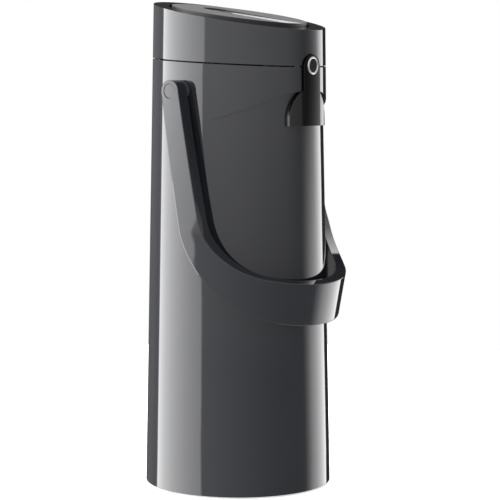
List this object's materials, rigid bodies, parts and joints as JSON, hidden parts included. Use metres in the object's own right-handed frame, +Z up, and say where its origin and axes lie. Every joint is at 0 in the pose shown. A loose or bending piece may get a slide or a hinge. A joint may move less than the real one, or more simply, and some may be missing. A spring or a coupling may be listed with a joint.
{
  "type": "thermal pump jug",
  "caption": "Tapered thermal pump jug with a slanted push-plate head, front spout with round lid-release button and a swinging bail handle.",
  "frame": {"origin": "centre of the underside of the foot, on the floor", "axes": "+Z up along the jug's axis, -Y towards the spout, +X to the right when seen from the spout side"},
  "size_m": [0.1796, 0.1571, 0.3784],
  "materials": {
    "lacquer": "high-gloss anthracite lacquer",
    "spout_black": "gloss black",
    "plate_grey": "fine matte",
    "inner_plastic": "plain moulded",
    "clear_tube": "milky",
    "glass": "silvered vacuum glass",
    "rubber": "soft matte",
    "silicone": "milky soft",
    "steel": "plain",
    "chrome": "polished"
  },
  "bodies": {
    "jug": {"body_shell": "lacquer", "base_cap": "inner_plastic", "base_screws": "steel", "foot_pad": "rubber", "flask_cushion": "rubber", "flask_outer": "glass", "flask_inner": "glass", "neck_gasket": "silicone", "collar": "inner_plastic", "latch_keepers": "steel", "riser_tube": "clear_tube", "riser_holder": "inner_plastic", "pivot_studs": "steel", "pivot_spacers": "inner_plastic"},
    "handle": {"handle": "lacquer", "handle_caps": "lacquer"},
    "head": {"head_housing": "lacquer", "head_hinge_pin": "steel", "head_floor": "inner_plastic", "hub_seal": "silicone", "head_screws": "steel", "plate_pin": "steel", "bellows": "silicone", "bellows_seat": "inner_plastic", "bellows_spring": "steel", "outlet_flap": "silicone", "outlet_duct": "clear_tube", "spout_panel": "spout_black", "spout_ring": "chrome"},
    "plate": {"pump_plate": "plate_grey"},
    "button": {"release_button": "spout_black"},
    "ball": {"tip_ball": "steel"}
  },
  "joints": [
    {"name": "handle_swing", "type": "hinge", "parent": "jug", "child": "handle", "pos_m": [0, 0.0054, 0.309], "axis": [-1, 0, 0], "range_deg": [0, 150]},
    {"name": "head_open", "type": "hinge", "parent": "jug", "child": "head", "pos_m": [0, 0.0692, 0.33459], "axis": [-1, 0, 0], "range_deg": [0, 75]},
    {"name": "pump_press", "type": "hinge", "parent": "head", "child": "plate", "pos_m": [0, 0.042, 0.36694], "axis": [1, 0, 0], "range_deg": [0, 10], "stiffness_Nm_per_rad": 2, "springref_deg": -5.73, "deforming": ["bellows", "bellows_spring"]},
    {"name": "button_press", "type": "slide", "parent": "head", "child": "button", "axis": [0, 1, 0], "range_m": [0, 0.0024], "stiffness_N_per_m": 400, "springref_m": -0.002},
    {"name": "ball_lift", "type": "slide", "parent": "head", "child": "ball", "axis": [0, 0, 1], "range_m": [0, 0.005]}
  ]
}
